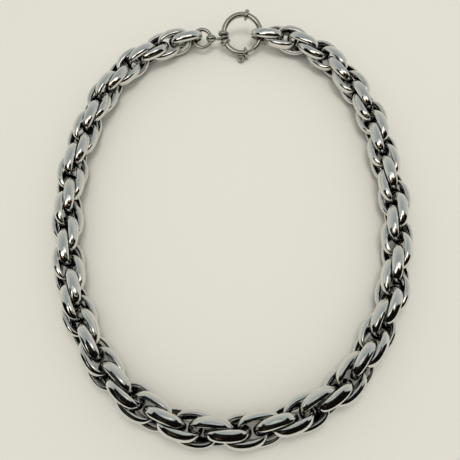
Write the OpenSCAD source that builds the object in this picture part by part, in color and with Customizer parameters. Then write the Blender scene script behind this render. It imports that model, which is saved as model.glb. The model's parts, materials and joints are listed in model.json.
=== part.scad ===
// Rope chain necklace with a bolt ring clasp, laid out in an open loop.
// Each link is a wide oval band that is turned about the chain from the one before it
// and passes through the two links on either side of it.
// Millimetres. X runs across the loop, +Y from its front to the clasp, +Z up from the surface.

/* [Chain] */
// Distance along the chain from one link's centre to the next
link_pitch = 5.188; // [5.18:0.001:5.2]
// Extra distance from the first link to the second, with the bolt ring's tube between them
first_gap = 0.95; // [0.9:0.05:1]
// Outer length of a link
link_l = 15.2; // [15:0.05:15.25]
// Outer width of a link
link_w = 11.6; // [11.5:0.1:11.8]
// Squareness of the link's oval: 2 is an ellipse, more is straighter along the sides
oval_power = 2.3; // [2.2:0.05:2.4]
// Width of the band at the middle of a link's long sides
band_w = 4; // [3.6:0.1:4.1]
// Width of the band at a link's two ends
band_end_w = 2.7; // [2:0.1:2.8]
// Thickness of the band at the middle of the long sides
band_t = 1.8; // [1.4:0.05:1.85]
// Thickness of the band at the two ends
band_end_t = 1.2; // [1:0.05:1.25]
// Turn about the chain from link to link in the right half
turn_right = 51.6; // [50:0.1:52]
// Turn about the chain from link to link in the left half
turn_left = 50.5; // [50:0.1:52]
// Lean of the first link's upper side from upright, positive away from the loop's middle
first_lean = -31; // [-40:1:-20]

/* [Bolt ring] */
// Outer diameter of the bolt ring
ring_d = 18.5; // [18.3:0.1:18.6]
// Diameter of the ring's tube
tube_d = 2.4; // [2.2:0.1:2.4]
// Slope of the ring, whose back side stands up off the surface
ring_tilt = 28; // [27:1:29]
// Height of the ring's centre above the surface
ring_z = 6.3; // [6.3:0.1:6.5]
// Diameter of the round collars on the tube
collar_d = 4.8; // [4.4:0.1:4.8]
// Thickness of the collars
collar_t = 1.4; // [1.1:0.1:1.5]

/* [Bolt and lever] */
// Diameter of the bolt that closes the ring's mouth
bolt_d = 1.2; // [1:0.05:1.2]
// Running clearance round the bolt and beside the lever's stem
bolt_gap = 0.15; // [0.1:0.01:0.18]
// Angle that the bolt slides through from closed to open
bolt_travel = 43; // [40:1:44]
// Diameter of the stem that joins the lever to the bolt
stem_d = 0.8; // [0.6:0.1:0.9]
// Width of the lever where it meets its stem
lever_w = 2.7; // [2.2:0.1:2.8]
// Width of the lever's round outer end
lever_end_w = 2.2; // [1.8:0.1:2.3]
// Length of the lever, outward from the tube
lever_l = 2.5; // [2.3:0.1:2.8]
// Thickness of the lever
lever_t = 1.2; // [1:0.1:1.4]

/* [Swivel and jump ring] */
// Outer diameter of the swivel's eye, a thick bead
eye_d = 4.4; // [4.3:0.1:4.6]
// Thickness of the eye's wall
eye_wall = 1; // [0.9:0.05:1]
// Length of the eye along its hole
eye_l = 3.1; // [2.8:0.1:3.2]
// Diameter of the neck between the eye and the loop
neck_d = 1.1; // [0.9:0.1:1.2]
// Diameter of the wire of the swivel's loop that turns on the ring's tube
loop_wire_d = 0.8; // [0.7:0.05:0.8]
// Outer diameter of the jump ring
jump_d = 9.2; // [9:0.1:9.3]
// Diameter of the jump ring's wire
jump_wire_d = 1.6; // [1.4:0.05:1.6]

/* [Hidden] */
$fn = 64;

// The chain's centreline: its distance from the loop's middle at every 15 degrees of
// bearing, clockwise from the clasp, in four quarters from the back to the right side,
// the front, the left side and the back again.
LOOP_STEP = 15;
LOOP_RADII = [
    80, 81.5, 79, 72.5, 66.5, 62,
    61.5, 62.5, 66, 70, 75.5, 78.5,
    80, 79, 75, 69.5, 65, 62,
    61.5, 63.5, 67, 73, 78.5, 80.5
];
// The loop's middle from the origin, which is the middle of the whole necklace's outline
loop_mid = [0.09, -2.064];
// Distance along the centreline from the back to the first link's centre
first_link_s = 15.7;
right_links = 41;
left_links = 41;

// A link's band: facets round the link, and the corners of the band's section, each as
// [out, across] in parts of the thickness and the width, flat inside and domed outside.
LINK_FACETS = 16;
BAND = [[-0.5, -0.38], [-0.5, 0.38], [-0.2, 0.5], [0.5, 0.26], [0.5, -0.26], [-0.2, -0.5]];
// The facets stand this much outside the true oval at their corners and as much inside it
// along their middles.
facet_swell = 1 / sqrt(cos(180 / LINK_FACETS));

// Places round the bolt ring are bearings, clockwise from its back
ring_mid = [4.75, 80.4];
ring_r = (ring_d - tube_d) / 2;
mouth_from = 141;
mouth_to = 167;
socket_depth = 7;
tongue_depth = 1.5;
mouth_collar = 169.5;
back_collar = 14;
lever_at = 183;
bolt_tail = 216;
bore_end = 262;
swivel_at = 258;
swivel_collar_angle = 13.5;
lever_clear = 0.35;
// The slit through the lever
slit_w = 0.8;
slit_l = 1.5;

// The swivel's loop runs clear of the tube by this much
loop_clear = 0.2;
loop_r = (tube_d + loop_wire_d) / 2 + loop_clear;
// The jump ring's middle from the bolt ring's, in the bolt ring's own plane
jump_mid = [-17.45, -1.8];
jump_r = (jump_d - jump_wire_d) / 2;
eye_r = (eye_d - eye_wall) / 2;
// The wire of the jump ring curves through the middle of the eye's hole
eye_slack = -0.05;
eye_mid = jump_mid + [jump_r + eye_slack, 0];

function unit(v) = v / norm(v);

// A smooth curve through four neighbouring values, between the middle two
function blend(a, b, c, d, t) =
    b + t / 2 * (c - a + t * (2 * a - 5 * b + 4 * c - d + t * (3 * (b - c) + d - a)));

function radius_row(i) = LOOP_RADII[(i + len(LOOP_RADII)) % len(LOOP_RADII)];

function loop_radius(bearing) =
    let (i = floor(bearing / LOOP_STEP), t = bearing / LOOP_STEP - i)
    blend(radius_row(i - 1), radius_row(i), radius_row(i + 1), radius_row(i + 2), t);

function loop_point(bearing) = loop_radius(bearing) * [sin(bearing), cos(bearing)];

// Distance along the centreline at each whole degree, as [distance, bearing]
ARC = [
    for (b = 0, s = 0; b < 360; s = s + norm(loop_point(b + 1) - loop_point(b)), b = b + 1)
        [s, b]
];

// The turn of link k about the chain, from its upper side upright
function lean(k) =
    first_lean - turn_right * min(k, right_links) - turn_left * max(k - right_links, 0);

// A corner of the band of a link that lies flat with its length along X: facet i of the
// oval, corner c of the section
function band_corner(i, c) =
    let (
        u = 360 * (i + 0.5) / LINK_FACETS,
        away = abs(sin(u)) ^ (2 / oval_power),
        swell = away * away,
        t = band_end_t + (band_t - band_end_t) * swell,
        w = band_end_w + (band_w - band_end_w) * swell,
        a = (link_l - band_end_t) / 2,
        b = (link_w - band_t) / 2,
        mid = facet_swell * [a * sign(cos(u)) * abs(cos(u)) ^ (2 / oval_power), b * sign(sin(u)) * away],
        out = unit([
            b * sign(cos(u)) * abs(cos(u)) ^ (2 - 2 / oval_power),
            a * sign(sin(u)) * abs(sin(u)) ^ (2 - 2 / oval_power)
        ]),
        place = mid + BAND[c][0] * t * out
    )
    [place.x, place.y, BAND[c][1] * w];

FLAT_LINK = [for (i = [0:LINK_FACETS - 1], c = [0:len(BAND) - 1]) band_corner(i, c)];

// The corners of link k where it lies, from the loop's middle at the chain's own height
function link_points(k) =
    let (
        bearing = lookup(first_link_s + k * link_pitch + first_gap * min(k, 1), ARC),
        mid = loop_point(bearing),
        along = unit(loop_point(bearing + 1) - loop_point(bearing - 1)),
        x = [along.x, along.y, 0],
        outward = [-along.y, along.x, 0],
        y = outward * sin(lean(k)) + [0, 0, cos(lean(k))],
        z = cross(x, y)
    )
    [for (p = FLAT_LINK) [mid.x, mid.y, 0] + p.x * x + p.y * y + p.z * z];

function corner_index(i, c) = (i % LINK_FACETS) * len(BAND) + c % len(BAND);

LINK_FACES = [
    for (i = [0:LINK_FACETS - 1], c = [0:len(BAND) - 1], half = [0, 1])
        half == 0
            ? [corner_index(i, c), corner_index(i, c + 1), corner_index(i + 1, c)]
            : [corner_index(i, c + 1), corner_index(i + 1, c + 1), corner_index(i + 1, c)]
];

// The chain's height: its lowest corner lies on the surface
chain_z = -min([for (k = [0:right_links + left_links - 1], p = link_points(k)) p.z]);

module link(k) {
    polyhedron(points = link_points(k), faces = LINK_FACES);
}

// From the origin to the loop's middle
module in_loop(z = 0) {
    translate([loop_mid.x, loop_mid.y, z]) children();
}

// The bolt ring's own frame: its middle, with its plane flat and its back towards +Y
module in_ring() {
    in_loop(ring_z) translate([ring_mid.x, ring_mid.y, 0]) rotate([ring_tilt, 0, 0]) children();
}

// Stands its children at a bearing on the ring's circle, with +X outward and +Y along it
module at_bearing(bearing, r = ring_r) {
    rotate([0, 0, 90 - bearing]) translate([r, 0, 0]) children();
}

// An arc of round bar on the ring's circle, clockwise between two bearings
module ring_bar(from, to, d) {
    rotate([0, 0, 90 - to])
        rotate_extrude(angle = to - from)
            translate([ring_r, 0])
                circle(d = d);
}

// A collar: a disc with a full round rim, square to the tube
module collar(bearing) {
    at_bearing(bearing)
        rotate([90, 0, 0])
            rotate_extrude() {
                translate([0, -collar_t / 2]) square([(collar_d - collar_t) / 2, collar_t]);
                translate([(collar_d - collar_t) / 2, 0])
                    intersection() {
                        circle(d = collar_t);
                        translate([0, -collar_t / 2]) square(collar_t);
                    }
            }
}

// The slot along the tube's outer side that the lever's stem slides in
module lever_slot() {
    slot_w = stem_d + 2 * bolt_gap;
    half_angle = asin(slot_w / 2 / ring_r);
    rotate([0, 0, 90 - lever_at - bolt_travel - half_angle])
        rotate_extrude(angle = bolt_travel + 2 * half_angle)
            translate([ring_r, -slot_w / 2])
                square([tube_d, slot_w]);
}

module chain_right() {
    color("silver")
        in_loop(chain_z)
            for (k = [0:right_links - 1]) link(k);
}

module chain_left() {
    color("silver")
        in_loop(chain_z)
            for (k = [right_links:right_links + left_links - 1]) link(k);
}

module clasp_ring() {
    bore_d = bolt_d + 2 * bolt_gap;
    color("lightgray")
        in_ring()
            difference() {
                union() {
                    ring_bar(mouth_to, 360 + mouth_from, tube_d);
                    collar(back_collar);
                    collar(mouth_collar);
                    collar(swivel_at - swivel_collar_angle);
                    collar(swivel_at + swivel_collar_angle);
                }
                ring_bar(mouth_to - 5, bore_end, bore_d);
                ring_bar(mouth_from - socket_depth, mouth_from + 5, bore_d);
                lever_slot();
            }
}

// The lever: a tapered blade with a round end and a slit, flat in the ring's plane
module lever(from) {
    to = from + lever_l - lever_end_w / 2;
    difference() {
        translate([0, 0, -lever_t / 2])
            linear_extrude(height = lever_t) {
                polygon([
                    [from, -lever_w / 2],
                    [to, -lever_end_w / 2],
                    [to, lever_end_w / 2],
                    [from, lever_w / 2]
                ]);
                translate([to, 0]) circle(d = lever_end_w);
            }
        translate([to - slit_l + slit_w / 4, -slit_w / 2, -lever_t])
            cube([slit_l, slit_w, 2 * lever_t]);
    }
}

module clasp_bolt() {
    blade_from = tube_d / 2 + lever_clear;
    color("gainsboro")
        in_ring() {
            ring_bar(mouth_from - tongue_depth, bolt_tail, bolt_d);
            at_bearing(lever_at) {
                rotate([0, 90, 0]) cylinder(d = stem_d, h = blade_from + 0.2);
                lever(blade_from);
            }
        }
}

module swivel_eye() {
    neck_from = (ring_r + loop_r) * [sin(swivel_at), cos(swivel_at)];
    reach = eye_mid - neck_from;
    color("gainsboro")
        in_ring() {
            translate([eye_mid.x, eye_mid.y, 0])
                rotate([90, 0, 0])
                    rotate_extrude()
                        translate([eye_r, 0]) {
                            square([eye_wall, eye_l - eye_wall], center = true);
                            for (end = [-1, 1])
                                translate([0, end * (eye_l - eye_wall) / 2]) circle(d = eye_wall);
                        }
            at_bearing(swivel_at)
                rotate([90, 0, 0])
                    rotate_extrude() translate([loop_r, 0]) circle(d = loop_wire_d);
            translate([neck_from.x, neck_from.y, 0])
                rotate([0, 90, atan2(reach.y, reach.x)])
                    cylinder(d = neck_d, h = norm(reach) - eye_r);
        }
}

module jump_ring() {
    color("gainsboro")
        in_ring()
            translate([jump_mid.x, jump_mid.y, 0])
                rotate_extrude() translate([jump_r, 0]) circle(d = jump_wire_d);
}

chain_right();
chain_left();
clasp_ring();
clasp_bolt();
swivel_eye();
jump_ring();
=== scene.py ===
"""A polished steel rope chain necklace with a bolt ring clasp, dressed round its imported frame."""
import json
import math

import bmesh
import bpy
import numpy as np
from mathutils import Matrix, Vector


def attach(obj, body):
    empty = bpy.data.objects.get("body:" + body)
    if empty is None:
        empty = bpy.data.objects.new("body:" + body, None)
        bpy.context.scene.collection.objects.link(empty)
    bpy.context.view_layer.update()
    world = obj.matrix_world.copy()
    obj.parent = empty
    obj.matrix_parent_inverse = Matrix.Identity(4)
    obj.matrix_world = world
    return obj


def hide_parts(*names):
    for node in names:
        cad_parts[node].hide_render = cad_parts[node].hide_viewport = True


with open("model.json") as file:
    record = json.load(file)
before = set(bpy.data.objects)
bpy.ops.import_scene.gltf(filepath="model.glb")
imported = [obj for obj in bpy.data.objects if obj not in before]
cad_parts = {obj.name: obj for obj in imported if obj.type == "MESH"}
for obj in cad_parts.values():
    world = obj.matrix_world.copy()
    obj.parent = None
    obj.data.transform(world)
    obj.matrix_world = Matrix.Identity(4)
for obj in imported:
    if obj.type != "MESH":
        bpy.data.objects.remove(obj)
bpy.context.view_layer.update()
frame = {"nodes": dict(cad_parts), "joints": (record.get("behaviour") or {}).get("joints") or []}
# Lengths are in metres, except where a comment gives them in millimetres.
MM = 0.001
EAST, NORTH, UP = np.eye(3)
# Points and bearings closer than this are the same one.
CLOSE = 1e-6

# The camera looks down from the front of the loop, aimed at the height of the chain's middle.
AIM = Vector((-0.06 * MM, -13.57 * MM, 5.8 * MM))
CAMERA_DISTANCE = 171.6 * MM
CAMERA_TILT = math.radians(21)
# It stands this far round to the east, and its picture is turned back by as much.
CAMERA_TURN = math.radians(3.5)
# Its lens and sensor, in millimetres as a camera's are.
FOCAL_LENGTH, SENSOR = 36.39, 36
NEAREST_SEEN = 1 * MM

# Cards that only the metal reflects hang level overhead, at these heights in millimetres.
CARD_Z, NEAR_CARD_Z = 330, 60
# Their edges, in millimetres from west to east. South is the front of the loop.
HAZE_NORTH = [(-100, 10), (-10, 50), (180, 50)]
BRIGHT_NORTH = [(-300, -142), (-45, -48), (35, -42), (70, 10), (180, 15)]
HAZE_SOUTH = [(-100, -68)] + BRIGHT_NORTH[1:]
BRIGHT_SOUTH = [(-300, -290), (-60, -205), (-25, -110), (0, -87), (25, -83), (50, -82), (180, -84)]
GOLD_NORTH = BRIGHT_SOUTH + [(250, -84)]
GOLD_SOUTH = [(-320, -400), (-105, -300), (-48, -150), (0, -108), (25, -104), (58, -108), (250, -114)]
BROWN_SOUTH = [(-340, -500), (-150, -460), (-75, -250), (0, -160), (30, -150), (75, -165), (250, -170)]
# A dark card with three dark walls under it, which end well above the floor, closes off the south.
DARK_WEST, DARK_EAST, DARK_SOUTH = -420, 500, -520
WALL_NORTH, WALL_FOOT = -60, 25
DARK_NORTH = [(DARK_WEST, -60), (-310, -60)] + BROWN_SOUTH + [(270, -40), (DARK_EAST, -40)]
# The near cards meet along the front of the loop, a strip of haze north of it and a dark one south.
NEAR_EDGE = [(-56, -40), (-44, -55), (-34, -66), (-20, -74), (0, -77),
             (12, -76), (25, -72), (40, -60), (58, -36)]
NEAR_HAZE_WIDTH = 10
NEAR_DARK_NORTH = [(-78, -68)] + NEAR_EDGE + [(80, -66)]
NEAR_DARK_SOUTH = [(-78, -130), (80, -130)]
# The cards' glows.
WHITE, HAZE, NEAR_HAZE = (2.2, 2.16, 2.1), (0.8, 0.79, 0.77), (0.5, 0.53, 0.53)
GOLD, BROWN, BLACK = (0.75, 0.46, 0.17), (0.2, 0.105, 0.035), (0.002, 0.0015, 0.001)

# A dome all round that only the metal reflects. Its glows change from the horizon, 0.5, to the top, 1.
DOME_R, DOME_RINGS, DOME_STEPS = 0.9, 24, 48
DOME_GLOWS = [(0.5, (0.72, 0.69, 0.62)), (0.85, (0.47, 0.505, 0.51)), (1, (0.33, 0.36, 0.36))]
# The even light all round, and a soft square light above that draws the shadows.
WORLD_GREY = 0.7
KEY_PLACE = Vector((0.03, 0.06, 0.6))
KEY_SIDE, KEY_POWER = 0.22, 0.95

# The metals' colours and roughness.
CHAIN_COLOUR, CHAIN_ROUGHNESS = (0.73, 0.73, 0.69), 0.09
CLASP_COLOUR, CLASP_ROUGHNESS = (0.43, 0.425, 0.37), 0.14
# Painted shade: steel that other pieces crowd within this reach is painted darker, for the shade between
# them. With the smaller share of open space round it, it is nearly black, and with the larger one it has
# its own colour.
PAINTED_SHADE_REACH, PAINTED_SHADE_SAMPLES = 4 * MM, 8
# The colour of the painted shade, near black.
PAINTED_SHADE_COLOUR = (0.008, 0.007, 0.006)
FULL_SHADE_AT, NO_SHADE_AT = 0.34, 0.66
# Faint waves in its polish.
WAVE_SCALE, WAVE_DETAIL, WAVE_HEIGHT = 350, 2, 0.06 * MM

FLOOR_COLOUR, FLOOR_ROUGHNESS = (0.8, 0.77, 0.68), 0.9
FLOOR_REACH = 1.5
FLOOR_Z = -0.05 * MM

# A link, in millimetres. It is smooth, and its band a little rounder and thicker than the solids'.
LINK_L, LINK_W = 15.2, 11.6
OVAL_POWER = 2.3
# The band's width and thickness at the link's long sides and at its ends.
BAND_W, BAND_END_W = 4, 2.6
BAND_T, BAND_END_T = 2.0, 1.2
# The band's middle line reaches this far from the link's middle.
LINE_L, LINE_W = (LINK_L - BAND_END_T) / 2, (LINK_W - BAND_T) / 2
# Powers that round its section's outer and inner sides, and the outer side's share of its thickness.
OUTER_POWER, INNER_POWER = 2.4, 2.2
OUTER_SHARE = 0.8
FINE_STEPS, BAND_STEPS, SECTION_STEPS = 4000, 96, 20

# The bolt slides about the bolt ring's axis, so the frame's one joint gives the ring's place and tilt.
SLIDE = frame["joints"][0]
RING_MIDDLE = np.array(SLIDE["pos_m"]) / MM
RING_TILT = math.atan2(SLIDE["axis"][1], -SLIDE["axis"][2])
# The rest of the clasp is in millimetres, with bearings in degrees clockwise from the ring's back.
RING_R, TUBE_R, BORE_R = 8.05, 1.2, 0.75
# The tube runs from one side of its mouth round to the other, with a bore and a socket for the bolt.
MOUTH_TO, MOUTH_FROM, SOCKET_FROM, BORE_END = 162.6, 501, 494, 262
COLLAR_R = 2.4
COLLAR_POWER = 2.6
# Each collar's bearing and half of its thickness.
COLLARS = [(168.4, 0.81), (244.5, 0.9), (271.5, 0.9), (374, 0.9)]
# Points round a wire, round a lathed piece, over a collar, along the bolt and along a straight bar.
AROUND, LATHE_STEPS, COLLAR_STEPS, BOLT_STEPS, STRAIGHT_STEPS = 32, 64, 17, 60, 6
BEARING_STEP = 2
# The slot in the tube's outer side: its bearings, and the points of each ring that it lies between.
SLOT = (179.08, 229.92)
SLOT_LEFT, SLOT_RIGHT = AROUND // 2 - 3, AROUND // 2 + 2
# The slot's sides are turned this far round the bore, so that its walls are about parallel.
SLOT_BORE_TURN = math.radians(47)

# The bolt between two bearings, and the stem and the lever at a bearing of their own.
BOLT_FROM, BOLT_TO, BOLT_R = 139.5, 216, 0.6
LEVER_AT, STEM_R, LEVER_WIRE_R = 183, 0.4, 0.5
LEVER_FROM, LEVER_TO = 1.32, 4.05
# Half of the lever's outline: each point's place past the near or far end, and to the side.
LEVER_NEAR_HALF = [(-0.05, 0.9), (0.1, 1.15)]
LEVER_FAR_HALF = [(-0.7, 0.85), (0, 0.6)]
LEVER_HEEL, LEVER_TIP = -0.02, 0.12
CORNER_CUTS = 3

# The swivel's eye, a bead with a hole, and the loop round the tube.
EYE_MIDDLE = np.array([-13.6, -1.8, 0])
EYE_R, EYE_HALF, EYE_HOLE_R = 2.2, 1.75, 1.15
EYE_STEPS, HOLE_STEPS = 25, 9
SWIVEL_AT, LOOP_R, LOOP_WIRE_R = 258, TUBE_R + 0.6, 0.48
# The neck starts this far past the middle of the loop's wire, and ends this far inside the eye.
NECK_R, NECK_START, NECK_END = 0.65, 0.1, 0.2

JUMP_MIDDLE = np.array([-17.45, -1.8, 0])
JUMP_R, JUMP_WIRE_R = 3.8, 0.8
# Edges of the clasp's pieces that turn by more than this stay sharp.
SHARP_TURN = math.radians(45)


def add_object(name, data):
    made = bpy.data.objects.new(name, data)
    bpy.context.scene.collection.objects.link(made)
    return made


def make_camera():
    data = bpy.data.cameras.new("camera")
    camera = add_object("camera", data)
    back = Vector((
        math.sin(CAMERA_TILT) * math.sin(CAMERA_TURN),
        -math.sin(CAMERA_TILT) * math.cos(CAMERA_TURN),
        math.cos(CAMERA_TILT),
    ))
    level = Vector((math.cos(CAMERA_TURN), math.sin(CAMERA_TURN), 0))
    steep = back.cross(level)
    right = math.cos(CAMERA_TURN) * level - math.sin(CAMERA_TURN) * steep
    up = math.sin(CAMERA_TURN) * level + math.cos(CAMERA_TURN) * steep
    turned = Matrix((right, up, back)).transposed().to_4x4()
    camera.matrix_world = Matrix.Translation(AIM + CAMERA_DISTANCE * back) @ turned
    data.sensor_width = SENSOR
    data.lens = FOCAL_LENGTH
    data.clip_start = NEAREST_SEEN
    bpy.context.scene.camera = camera


def mesh_object(name, points, faces):
    mesh = bpy.data.meshes.new(name)
    mesh.from_pydata([tuple(p) for p in points], [], [tuple(int(i) for i in f) for f in faces])
    mesh.shade_smooth()
    return add_object(name, mesh)


def strip_faces(rings, steps, ends, skip=lambda i, j: False):
    """Faces between rings of points, one after another. The ends are joined, capped or open."""
    faces = []
    for i in range(rings if ends == "joined" else rings - 1):
        row, next_row = i * steps, (i + 1) % rings * steps
        for j in range(steps):
            if not skip(i, j):
                step = (j + 1) % steps
                faces.append((row + j, row + step, next_row + step, next_row + j))
    if ends == "capped":
        faces.append(tuple(reversed(range(steps))))
        faces.append(tuple(range((rings - 1) * steps, rings * steps)))
    return faces


def new_material(name):
    """A material and its shader."""
    material = bpy.data.materials.new(name)
    material.use_nodes = True
    return material, material.node_tree.nodes["Principled BSDF"]


def colour_ramp(nodes, stops):
    """A ramp through colours, each after its place from 0 to 1."""
    ramp = nodes.new("ShaderNodeValToRGB")
    marks = ramp.color_ramp.elements
    marks[0].position = stops[0][0]
    marks[1].position = stops[-1][0]
    for place, colour in stops[1:-1]:
        marks.new(place)
    for mark, (place, colour) in zip(marks, stops):
        mark.color = (*colour, 1)
    return ramp


def add_waves(nodes, links, shader):
    where = nodes.new("ShaderNodeTexCoord")
    waves = nodes.new("ShaderNodeTexNoise")
    waves.inputs["Scale"].default_value = WAVE_SCALE
    waves.inputs["Detail"].default_value = WAVE_DETAIL
    bump = nodes.new("ShaderNodeBump")
    bump.inputs["Strength"].default_value = 1
    bump.inputs["Distance"].default_value = WAVE_HEIGHT
    links.new(where.outputs["Object"], waves.inputs["Vector"])
    links.new(waves.outputs["Fac"], bump.inputs["Height"])
    links.new(bump.outputs["Normal"], shader.inputs["Normal"])


def steel(name, colour, roughness):
    """Polished steel with painted shade, nearly black where the pieces crowd together."""
    material, shader = new_material(name)
    nodes, links = material.node_tree.nodes, material.node_tree.links
    shader.inputs["Metallic"].default_value = 1
    shader.inputs["Roughness"].default_value = roughness
    # Painted shade: the less open space round a point, the nearer its colour is to near black.
    painted_shade = nodes.new("ShaderNodeAmbientOcclusion")
    painted_shade.samples = PAINTED_SHADE_SAMPLES
    painted_shade.inputs["Distance"].default_value = PAINTED_SHADE_REACH
    ramp = colour_ramp(nodes, [(FULL_SHADE_AT, PAINTED_SHADE_COLOUR), (NO_SHADE_AT, colour)])
    links.new(painted_shade.outputs["AO"], ramp.inputs["Fac"])
    links.new(ramp.outputs["Color"], shader.inputs["Base Color"])
    add_waves(nodes, links, shader)
    return material


def floor_finish():
    material, shader = new_material("floor")
    shader.inputs["Base Color"].default_value = (*FLOOR_COLOUR, 1)
    shader.inputs["Roughness"].default_value = FLOOR_ROUGHNESS
    return material


def glow_finish(name, strength):
    """A material that only glows, and its shader."""
    material, shader = new_material(name)
    shader.inputs["Base Color"].default_value = (0, 0, 0, 1)
    shader.inputs["Specular IOR Level"].default_value = 0
    shader.inputs["Emission Strength"].default_value = strength
    return material, shader


def loose_parts(mesh):
    """The points of each part of a mesh that isn't joined to the others."""
    points = np.array([v.co for v in mesh.vertices])
    _, first, same = np.unique(np.round(points / CLOSE).astype(int), axis=0,
                               return_index=True, return_inverse=True)
    same = same.reshape(-1)
    points = points[first]
    root = np.arange(len(points))

    def top(i):
        while root[i] != i:
            root[i] = root[root[i]]
            i = root[i]
        return i

    for edge in mesh.edges:
        a, b = top(same[edge.vertices[0]]), top(same[edge.vertices[1]])
        root[max(a, b)] = min(a, b)
    owner = np.array([top(i) for i in range(len(points))])
    return [points[owner == k] for k in np.unique(owner)]


def link_places(node):
    """The middle of each link in a chain node, and its long, wide and across axes."""
    places = []
    for points in loose_parts(frame["nodes"][node].data):
        middle = points.mean(0)
        axes = np.linalg.eigh(np.cov((points - middle).T))[1]
        long, wide = axes[:, 2], axes[:, 1]
        places.append((middle, long, wide, np.cross(long, wide)))
    return places


def signed_power(values, power):
    """Each value's size raised to a power, under the value's own sign."""
    return np.sign(values) * np.abs(values) ** power


def band_line():
    """The band's middle line, even steps round an oval, and the way out from it at each step."""
    turn = np.linspace(0, 2 * np.pi, FINE_STEPS + 1)
    x = LINE_L * signed_power(np.cos(turn), 2 / OVAL_POWER)
    y = LINE_W * signed_power(np.sin(turn), 2 / OVAL_POWER)
    run = np.concatenate([[0], np.cumsum(np.hypot(np.diff(x), np.diff(y)))])
    even = run[-1] * np.arange(BAND_STEPS) / BAND_STEPS
    line = np.stack([np.interp(even, run, x), np.interp(even, run, y)], 1)
    along = np.roll(line, -1, 0) - np.roll(line, 1, 0)
    out = np.stack([along[:, 1], -along[:, 0]], 1) / np.linalg.norm(along, axis=1)[:, None]
    return line, out


def band_section():
    """The section's points, outward in shares of its thickness and sideways in shares of its width."""
    turn = 2 * np.pi * (np.arange(SECTION_STEPS) + 0.5) / SECTION_STEPS
    outer = np.sin(turn) > 0
    power = 2 / np.where(outer, OUTER_POWER, INNER_POWER)
    height = np.where(outer, OUTER_SHARE, 1 - OUTER_SHARE)
    rise = 0.5 - OUTER_SHARE + height * signed_power(np.sin(turn), power)
    side = 0.5 * signed_power(np.cos(turn), power)
    return rise, side


def smooth_link():
    """A link's points, flat round the origin with its length along X, in metres."""
    line, out = band_line()
    rise, side = band_section()
    swell = (line[:, 1] / LINE_W) ** 2
    thick = BAND_END_T + (BAND_T - BAND_END_T) * swell
    wide = BAND_END_W + (BAND_W - BAND_END_W) * swell
    points = np.zeros((BAND_STEPS, SECTION_STEPS, 3))
    points[:, :, :2] = line[:, None] + (thick[:, None] * rise)[:, :, None] * out[:, None]
    points[:, :, 2] = wide[:, None] * side
    return points.reshape(-1, 3) * MM


def make_chain(node, finish):
    """Smooth links in the places of a chain node's own, joined into one piece."""
    link = smooth_link()
    faces = np.array(strip_faces(BAND_STEPS, SECTION_STEPS, "joined"))
    all_points, all_faces = [], []
    for k, (middle, *axes) in enumerate(link_places(node)):
        all_points.append(middle + link @ np.stack(axes))
        all_faces.append(faces + k * len(link))
    chain = mesh_object(node + "_links", np.concatenate(all_points), np.concatenate(all_faces))
    chain.data.materials.append(finish)
    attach(chain, "necklace")
    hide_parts(node)


def ring_place(bearing, r=RING_R):
    """The point at a bearing round the bolt ring, in the ring's own plane."""
    turn = math.radians(bearing)
    return r * np.array([math.sin(turn), math.cos(turn), 0])


def bar(path, radius, closed=False):
    """Round wire along a path in the ring's plane, as points and faces."""
    path = np.array(path, float)
    if closed:
        along = np.roll(path, -1, 0) - np.roll(path, 1, 0)
    else:
        along = np.gradient(path, axis=0)
    along /= np.linalg.norm(along, axis=1)[:, None]
    side = np.cross(along, UP)
    turn = 2 * np.pi * np.arange(AROUND) / AROUND
    points = path[:, None] + radius * (np.cos(turn)[None, :, None] * side[:, None]
                                       + np.sin(turn)[None, :, None] * UP)
    return points.reshape(-1, 3), strip_faces(len(path), AROUND, "joined" if closed else "capped")


def lathed(middle, a, b, section):
    """A closed section of (radius, offset) points turned about the axis square to a and b."""
    axis = np.cross(a, b)
    points = []
    for turn in 2 * np.pi * np.arange(LATHE_STEPS) / LATHE_STEPS:
        out = math.cos(turn) * a + math.sin(turn) * b
        points += [middle + r * out + h * axis for r, h in section]
    return np.array(points), strip_faces(LATHE_STEPS, len(section), "joined")


def round_section(middle_r, radius):
    turn = 2 * np.pi * np.arange(AROUND) / AROUND
    return np.stack([middle_r + radius * np.cos(turn), radius * np.sin(turn)], 1)


def collar_swell(bearing):
    """The tube's outer radius at a bearing, with its collars."""
    for middle, half in COLLARS:
        off = abs(math.radians(bearing - middle)) * RING_R / half
        if off < 1:
            return TUBE_R + (COLLAR_R - TUBE_R) * (1 - off ** COLLAR_POWER) ** (1 / COLLAR_POWER)
    return TUBE_R


def tube_bearings():
    """The bearings of the tube's rings of points, closer together over each collar."""
    bearings = [*np.arange(MOUTH_TO, MOUTH_FROM, BEARING_STEP), MOUTH_FROM, BORE_END, SOCKET_FROM, *SLOT]
    for middle, half in COLLARS:
        reach = math.degrees(half / RING_R)
        quarter_turns = np.linspace(-math.pi / 2, math.pi / 2, COLLAR_STEPS)
        bearings += [middle + reach * math.sin(turn) for turn in quarter_turns]
    return np.unique(np.round(bearings, 3))


def tube_ring(bearing, radius, turns):
    """A ring of points round the tube's middle line, at these turns from its outer side."""
    out = ring_place(bearing, 1)
    return RING_R * out + radius * (np.cos(turns)[:, None] * out + np.sin(turns)[:, None] * UP)


def in_slot(bearing):
    return SLOT[0] - CLOSE <= bearing <= SLOT[1] + CLOSE


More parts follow.
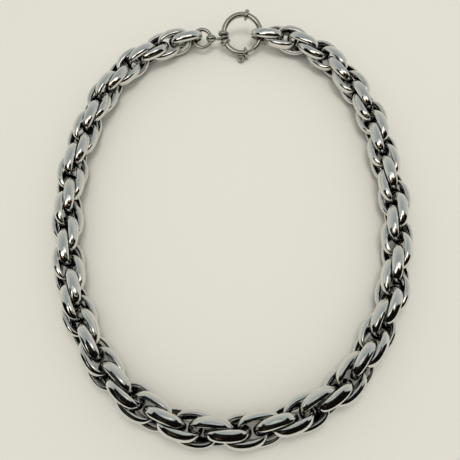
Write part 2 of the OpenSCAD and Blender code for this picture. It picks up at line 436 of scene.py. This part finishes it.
def slot_walls(bearings, first_outer):
    """The slot's walls, from the outer rings of points in to the bore's rings at the same bearings."""
    faces = []

    def join(a, b):
        """Joins an edge between two (ring, point) ends to the same edge of the bore."""
        corners = [a, b, (2 * first_outer - 1 - b[0], b[1]), (2 * first_outer - 1 - a[0], a[1])]
        faces.append([ring * AROUND + point for ring, point in corners])

    outer = [i for i in range(first_outer, len(bearings)) if in_slot(bearings[i])]
    for i in outer[:-1]:
        join((i, SLOT_LEFT), (i + 1, SLOT_LEFT))
        join((i, SLOT_RIGHT), (i + 1, SLOT_RIGHT))
    for end in (outer[0], outer[-1]):
        for j in range(SLOT_LEFT, SLOT_RIGHT):
            join((end, j), (end, j + 1))
    return faces


def ring_tube():
    """The bolt ring's tube: up the bore to the mouth, back round the outside and into the socket."""
    outside = tube_bearings()
    bore, socket = outside[outside <= BORE_END][::-1], outside[outside >= SOCKET_FROM][::-1]
    turns = 2 * np.pi * (np.arange(AROUND) + 0.5) / AROUND - np.pi
    squeezed = np.interp(abs(turns), [0, turns[SLOT_RIGHT], np.pi], [0, SLOT_BORE_TURN, np.pi])
    bore_turns = np.sign(turns) * squeezed
    rings = [tube_ring(bearing, BORE_R, bore_turns) for bearing in bore]
    rings += [tube_ring(bearing, collar_swell(bearing), turns) for bearing in outside]
    rings += [tube_ring(bearing, BORE_R, bore_turns) for bearing in socket]
    bearings = [*bore, *outside, *socket]

    def cut(i, j):
        return in_slot(bearings[i]) and in_slot(bearings[i + 1]) and SLOT_LEFT <= j < SLOT_RIGHT

    faces = strip_faces(len(rings), AROUND, "capped", cut)
    return np.concatenate(rings), faces + slot_walls(bearings, len(bore))


def rounded(outline):
    """A closed outline with its corners cut off again and again."""
    for _ in range(CORNER_CUTS):
        after = np.roll(outline, -1, 0)
        cut = np.stack([0.75 * outline + 0.25 * after, 0.25 * outline + 0.75 * after], 1)
        outline = cut.reshape(-1, 2)
    return outline


def bolt_and_lever():
    """The bolt, the stem out through the slot and the lever, a flat loop of wire round its slit."""
    out, along = ring_place(LEVER_AT, 1), ring_place(LEVER_AT + 90, 1)
    middle = RING_R * out
    near, far = LEVER_FROM + LEVER_WIRE_R, LEVER_TO - LEVER_WIRE_R
    half = [(near + x, y) for x, y in LEVER_NEAR_HALF] + [(far + x, y) for x, y in LEVER_FAR_HALF]
    other_half = [(x, -y) for x, y in half]
    outline = np.array([*other_half, (far + LEVER_TIP, 0), *half[::-1], (near + LEVER_HEEL, 0)])
    loop = [middle + x * out + y * along for x, y in rounded(outline)]
    return [
        bar([ring_place(bearing) for bearing in np.linspace(BOLT_FROM, BOLT_TO, BOLT_STEPS)], BOLT_R),
        bar(np.linspace(middle, middle + near * out, STRAIGHT_STEPS), STEM_R),
        bar(loop, LEVER_WIRE_R, closed=True),
    ]


def eye_section():
    """The bead's round outside and the straight inside of its hole."""
    end = EYE_HALF * math.sqrt(1 - (EYE_HOLE_R / EYE_R) ** 2)
    rise = np.linspace(-end, end, EYE_STEPS)
    outside = np.stack([EYE_R * np.sqrt(1 - (rise / EYE_HALF) ** 2), rise], 1)
    fall = np.linspace(end, -end, HOLE_STEPS)[1:-1]
    hole = np.stack([np.full(len(fall), EYE_HOLE_R), fall], 1)
    return np.concatenate([outside, hole])


def swivel():
    """The bead-like eye, its neck and the loop that turns on the ring's tube."""
    out = ring_place(SWIVEL_AT, 1)
    neck_from = (RING_R + LOOP_R + NECK_START) * out
    toward = EYE_MIDDLE - neck_from
    neck_to = EYE_MIDDLE - toward / np.linalg.norm(toward) * (EYE_R - NECK_END)
    return [
        lathed(EYE_MIDDLE, EAST, UP, eye_section()),
        bar(np.linspace(neck_from, neck_to, STRAIGHT_STEPS), NECK_R),
        lathed(RING_R * out, out, UP, round_section(LOOP_R, LOOP_WIRE_R)),
    ]


def jump_ring():
    return [lathed(JUMP_MIDDLE, EAST, NORTH, round_section(JUMP_R, JUMP_WIRE_R))]


def make_clasp_piece(name, node, body, shells, finish):
    """Joins closed shells, given in the bolt ring's own frame, into one piece of the clasp."""
    c, s = math.cos(RING_TILT), math.sin(RING_TILT)
    tilted = np.array([[1, 0, 0], [0, c, -s], [0, s, c]])
    all_points, all_faces, count = [], [], 0
    for points, faces in shells:
        all_points.append((points @ tilted.T + RING_MIDDLE) * MM)
        all_faces += [[i + count for i in face] for face in faces]
        count += len(points)
    piece = mesh_object(name, np.concatenate(all_points), all_faces)
    shape = bmesh.new()
    shape.from_mesh(piece.data)
    bmesh.ops.delete(shape, geom=[v for v in shape.verts if not v.link_faces], context="VERTS")
    bmesh.ops.recalc_face_normals(shape, faces=shape.faces)
    shape.to_mesh(piece.data)
    shape.free()
    piece.data.set_sharp_from_angle(angle=SHARP_TURN)
    piece.data.materials.append(finish)
    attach(piece, body)
    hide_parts(node)


def make_floor():
    corners = [(x * FLOOR_REACH, y * FLOOR_REACH, 0) for x, y in ((-1, -1), (1, -1), (1, 1), (-1, 1))]
    floor = mesh_object("floor", corners, [(0, 1, 2, 3)])
    floor.location.z = FLOOR_Z
    floor.data.materials.append(floor_finish())


def make_world():
    world = bpy.data.worlds.new("world")
    bpy.context.scene.world = world
    world.use_nodes = True
    background = world.node_tree.nodes["Background"]
    background.inputs["Color"].default_value = (WORLD_GREY, WORLD_GREY, WORLD_GREY, 1)


def make_surroundings():
    """The grey dome that shows only as a reflection, darkest overhead."""
    points = []
    for down in np.linspace(0, math.pi, DOME_RINGS + 1):
        for turn in 2 * math.pi * np.arange(DOME_STEPS) / DOME_STEPS:
            points.append((DOME_R * math.sin(down) * math.cos(turn),
                           DOME_R * math.sin(down) * math.sin(turn),
                           DOME_R * math.cos(down)))
    dome = mesh_object("surroundings", points, strip_faces(DOME_RINGS + 1, DOME_STEPS, "open"))
    material, shader = glow_finish("surroundings", 1)
    nodes, links = material.node_tree.nodes, material.node_tree.links
    where = nodes.new("ShaderNodeTexCoord")
    parts = nodes.new("ShaderNodeSeparateXYZ")
    ramp = colour_ramp(nodes, DOME_GLOWS)
    links.new(where.outputs["Generated"], parts.inputs[0])
    links.new(parts.outputs["Z"], ramp.inputs["Fac"])
    links.new(ramp.outputs["Color"], shader.inputs["Emission Color"])
    dome.data.materials.append(material)
    dome.visible_camera = dome.visible_diffuse = dome.visible_shadow = False


def reflected_card(name, corners, glow):
    """A card, its corners in millimetres, that shows only as a reflection in the metal."""
    card = mesh_object(name, [[c * MM for c in corner] for corner in corners], [range(len(corners))])
    strength = max(glow)
    material, shader = glow_finish(name, strength)
    shader.inputs["Emission Color"].default_value = (*(c / strength for c in glow), 1)
    card.data.materials.append(material)
    card.visible_camera = card.visible_diffuse = card.visible_shadow = False


def overhead_card(name, north, south, glow, height=CARD_Z):
    """A level card overhead between two edges that both run from west to east."""
    reflected_card(name, [(x, y, height) for x, y in north + south[::-1]], glow)


def dark_wall(name, start, end):
    """A dark wall from the dark card down, between two places."""
    corners = [(*start, CARD_Z), (*end, CARD_Z), (*end, WALL_FOOT), (*start, WALL_FOOT)]
    reflected_card(name, corners, BLACK)


def make_cards():
    south_west, south_east = (DARK_WEST, DARK_SOUTH), (DARK_EAST, DARK_SOUTH)
    near_haze_north = [(x, y + NEAR_HAZE_WIDTH) for x, y in NEAR_EDGE]
    overhead_card("haze_card", HAZE_NORTH, HAZE_SOUTH, HAZE)
    overhead_card("bright_card", BRIGHT_NORTH, BRIGHT_SOUTH, WHITE)
    overhead_card("gold_card", GOLD_NORTH, GOLD_SOUTH, GOLD)
    overhead_card("brown_card", GOLD_SOUTH, BROWN_SOUTH, BROWN)
    overhead_card("dark_card", DARK_NORTH, [south_west, south_east], BLACK)
    overhead_card("near_haze", near_haze_north, NEAR_EDGE, NEAR_HAZE, NEAR_CARD_Z)
    overhead_card("near_dark", NEAR_DARK_NORTH, NEAR_DARK_SOUTH, BLACK, NEAR_CARD_Z)
    dark_wall("dark_front", south_west, south_east)
    dark_wall("dark_west", south_west, (DARK_WEST, WALL_NORTH))
    dark_wall("dark_east", south_east, (DARK_EAST, WALL_NORTH))


def make_key_light():
    """The soft light that draws the shadows, aimed at the origin. The metal doesn't reflect it."""
    data = bpy.data.lights.new("key", "AREA")
    data.size = KEY_SIDE
    data.energy = KEY_POWER
    light = add_object("key", data)
    light.location = KEY_PLACE
    light.rotation_euler = (-KEY_PLACE).to_track_quat("-Z", "Y").to_euler()
    light.visible_camera = light.visible_glossy = False


make_camera()
chain_steel = steel("chain_steel", CHAIN_COLOUR, CHAIN_ROUGHNESS)
clasp_steel = steel("clasp_steel", CLASP_COLOUR, CLASP_ROUGHNESS)
for node in ("chain_right", "chain_left"):
    make_chain(node, chain_steel)
make_clasp_piece("bolt_ring", "clasp_ring", "necklace", [ring_tube()], clasp_steel)
make_clasp_piece("bolt_lever", "clasp_bolt", "bolt", bolt_and_lever(), clasp_steel)
make_clasp_piece("swivel", "swivel_eye", "necklace", swivel(), clasp_steel)
make_clasp_piece("jump_ring_wire", "jump_ring", "necklace", jump_ring(), clasp_steel)
make_floor()
make_world()
make_surroundings()
make_cards()
make_key_light()
bpy.context.scene.view_settings.view_transform = "Standard"
